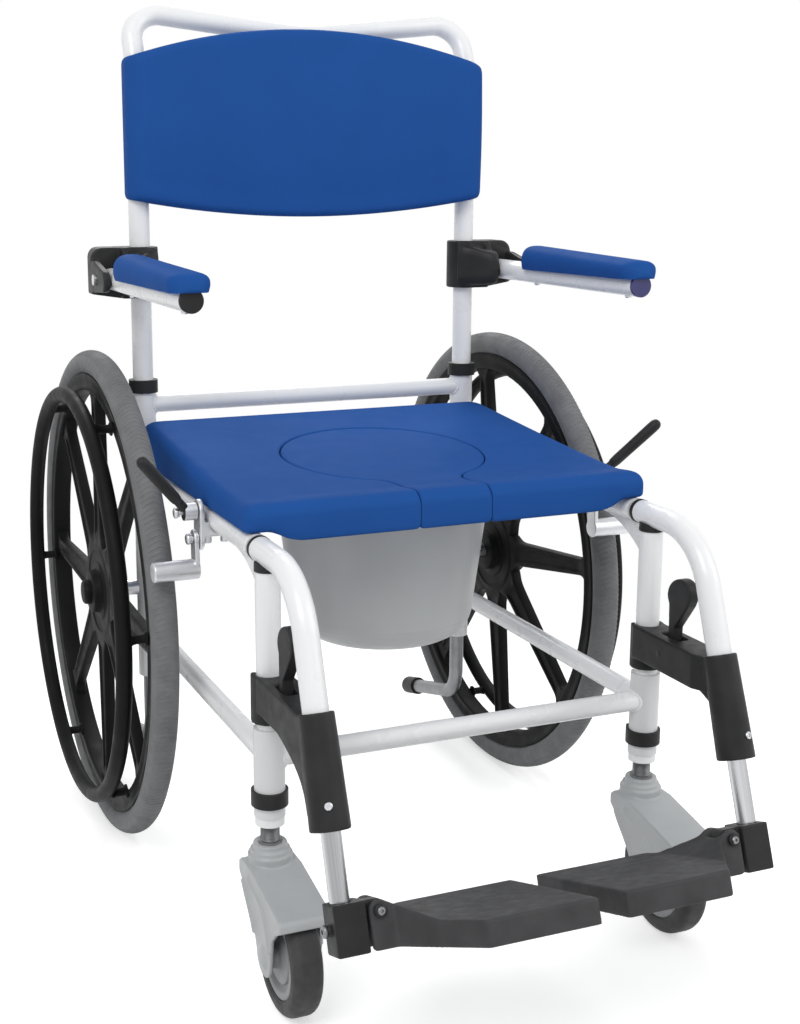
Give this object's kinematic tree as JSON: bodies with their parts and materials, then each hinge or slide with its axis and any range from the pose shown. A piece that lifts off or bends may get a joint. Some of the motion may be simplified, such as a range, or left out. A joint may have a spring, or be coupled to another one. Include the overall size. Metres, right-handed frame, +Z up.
{
  "type": "shower commode chair",
  "caption": "Shower commode chair with self-propel rear wheels, padded seat with lift-out insert, bucket, flip-up armrests and swing-away footrests.",
  "frame": {"origin": "middle of the chair's footprint, on the floor", "axes": "X across the chair to the picture's right, Y from the footplates to the rear wheels, Z up"},
  "size_m": [0.653, 1.068, 1.0269],
  "materials": {
    "white_coat": "smooth white powder coat on aluminium tube",
    "blue_pad": "moulded soft foam with a smooth satin skin",
    "black_plastic": "fine-grained moulded plastic",
    "grey_plastic": "smooth moulded plastic",
    "white_plastic": "smooth moulded plastic",
    "grey_tyre": "solid grey tyre with a fine tread",
    "bright_steel": "bright zinc-plated steel"
  },
  "bodies": {
    "frame": {"front_legs": "white_coat", "leg_sleeves": "white_coat", "collars": "black_plastic", "leg_bushes": "white_plastic", "rear_posts": "white_coat", "back_frame": "white_coat", "seat_rails": "white_coat", "lower_rails": "white_coat", "front_cross_tube": "white_coat", "rear_cross_tube": "white_coat", "gussets": "white_coat", "backrest": "blue_pad", "seat_pad": "blue_pad", "pan_rails": "white_plastic", "arm_brackets": "black_plastic", "arm_pins": "bright_steel", "brake_clamps": "bright_steel", "brake_pins": "bright_steel", "tipping_levers": "white_coat", "tipping_caps": "black_plastic", "wheel_axles": "bright_steel"},
    "seat_insert": {"seat_insert": "blue_pad"},
    "bucket": {"bucket": "grey_plastic"},
    "arm_left": {"arm_tube_left": "white_coat", "arm_pad_left": "blue_pad", "arm_plug_left": "black_plastic"},
    "hanger_left": {"hanger_tube_left": "white_coat", "latch_sleeve_left": "black_plastic", "hanger_bush_left": "black_plastic"},
    "release_left": {"release_lever_left": "black_plastic"},
    "foot_support_left": {"foot_tube_left": "bright_steel", "foot_bracket_left": "black_plastic"},
    "footplate_left": {"footplate_left": "black_plastic"},
    "castor_left": {"castor_fork_left": "grey_plastic"},
    "castor_wheel_left": {"castor_hub_left": "grey_plastic", "castor_tyre_left": "grey_tyre"},
    "rear_wheel_left": {"wheel_left": "black_plastic", "tyre_left": "grey_tyre", "handrim_left": "black_plastic"},
    "brake_lever_left": {"brake_lever_left": "black_plastic"},
    "brake_shoe_left": {"brake_shoe_left": "bright_steel"},
    "arm_right": {"arm_tube_right": "white_coat", "arm_pad_right": "blue_pad", "arm_plug_right": "black_plastic"},
    "hanger_right": {"hanger_tube_right": "white_coat", "latch_sleeve_right": "black_plastic", "hanger_bush_right": "black_plastic"},
    "release_right": {"release_lever_right": "black_plastic"},
    "foot_support_right": {"foot_tube_right": "bright_steel", "foot_bracket_right": "black_plastic"},
    "footplate_right": {"footplate_right": "black_plastic"},
    "castor_right": {"castor_fork_right": "grey_plastic"},
    "castor_wheel_right": {"castor_hub_right": "grey_plastic", "castor_tyre_right": "grey_tyre"},
    "rear_wheel_right": {"wheel_right": "black_plastic", "tyre_right": "grey_tyre", "handrim_right": "black_plastic"},
    "brake_lever_right": {"brake_lever_right": "black_plastic"},
    "brake_shoe_right": {"brake_shoe_right": "bright_steel"}
  },
  "joints": [
    {"name": "rear_wheel_spin_left", "type": "hinge", "parent": "frame", "child": "rear_wheel_left", "pos_m": [-0.28, 0.22901, 0.305], "axis": [1, 0, 0], "continuous": true},
    {"name": "castor_swivel_left", "type": "hinge", "parent": "frame", "child": "castor_left", "pos_m": [-0.222, -0.23699, 0.18], "axis": [0, 0, 1], "continuous": true},
    {"name": "castor_spin_left", "type": "hinge", "parent": "castor_left", "child": "castor_wheel_left", "pos_m": [-0.222, -0.29099, 0.0625], "axis": [1, 0, 0], "continuous": true},
    {"name": "arm_flip_left", "type": "hinge", "parent": "frame", "child": "arm_left", "pos_m": [-0.264, 0.19301, 0.7], "axis": [-1, 0, 0], "range_deg": [0, 100]},
    {"name": "hanger_swing_left", "type": "hinge", "parent": "frame", "child": "hanger_left", "pos_m": [-0.222, -0.23699, 0.43], "axis": [0, 0, -1], "range_deg": [0, 90]},
    {"name": "latch_release_left", "type": "hinge", "parent": "hanger_left", "child": "release_left", "pos_m": [-0.222, -0.28899, 0.32], "axis": [-1, 0, 0], "range_deg": [0, 20]},
    {"name": "foot_height_left", "type": "slide", "parent": "hanger_left", "child": "foot_support_left", "axis": [0, -0.342, -0.9397], "range_m": [-0.04, 0.045]},
    {"name": "footplate_flip_left", "type": "hinge", "parent": "foot_support_left", "child": "footplate_left", "pos_m": [-0.191, -0.42901, 0.1715], "axis": [0, -0.9397, 0.342], "range_deg": [0, 95]},
    {"name": "brake_throw_left", "type": "hinge", "parent": "frame", "child": "brake_lever_left", "pos_m": [-0.25, -0.07399, 0.47], "axis": [1, 0, 0], "range_deg": [0, 55]},
    {"name": "brake_press_left", "type": "hinge", "parent": "frame", "child": "brake_shoe_left", "pos_m": [-0.25, -0.07399, 0.44], "axis": [1, 0, 0], "range_deg": [0, 9.62]},
    {"name": "rear_wheel_spin_right", "type": "hinge", "parent": "frame", "child": "rear_wheel_right", "pos_m": [0.28, 0.22901, 0.305], "axis": [1, 0, 0], "continuous": true},
    {"name": "castor_swivel_right", "type": "hinge", "parent": "frame", "child": "castor_right", "pos_m": [0.222, -0.23699, 0.18], "axis": [0, 0, 1], "continuous": true},
    {"name": "castor_spin_right", "type": "hinge", "parent": "castor_right", "child": "castor_wheel_right", "pos_m": [0.222, -0.29099, 0.0625], "axis": [1, 0, 0], "continuous": true},
    {"name": "arm_flip_right", "type": "hinge", "parent": "frame", "child": "arm_right", "pos_m": [0.264, 0.19301, 0.7], "axis": [-1, 0, 0], "range_deg": [0, 100]},
    {"name": "hanger_swing_right", "type": "hinge", "parent": "frame", "child": "hanger_right", "pos_m": [0.222, -0.23699, 0.43], "axis": [0, 0, 1], "range_deg": [0, 90]},
    {"name": "latch_release_right", "type": "hinge", "parent": "hanger_right", "child": "release_right", "pos_m": [0.222, -0.28899, 0.32], "axis": [-1, 0, 0], "range_deg": [0, 20]},
    {"name": "foot_height_right", "type": "slide", "parent": "hanger_right", "child": "foot_support_right", "axis": [0, -0.342, -0.9397], "range_m": [-0.04, 0.045]},
    {"name": "footplate_flip_right", "type": "hinge", "parent": "foot_support_right", "child": "footplate_right", "pos_m": [0.191, -0.42901, 0.1715], "axis": [0, 0.9397, -0.342], "range_deg": [0, 95]},
    {"name": "brake_throw_right", "type": "hinge", "parent": "frame", "child": "brake_lever_right", "pos_m": [0.25, -0.07399, 0.47], "axis": [1, 0, 0], "range_deg": [0, 55]},
    {"name": "brake_press_right", "type": "hinge", "parent": "frame", "child": "brake_shoe_right", "pos_m": [0.25, -0.07399, 0.44], "axis": [1, 0, 0], "range_deg": [0, 9.62]},
    {"name": "bucket_slide", "type": "slide", "parent": "frame", "child": "bucket", "axis": [0, 1, 0], "range_m": [0, 0.35]},
    {"name": "insert_lift", "type": "slide", "parent": "frame", "child": "seat_insert", "axis": [0, 0, 1], "range_m": [0, 0.12]}
  ],
  "couplings": [
    {"joint": "brake_press_left", "follows": "brake_throw_left", "ratio": 0.175},
    {"joint": "brake_press_right", "follows": "brake_throw_right", "ratio": 0.175}
  ]
}
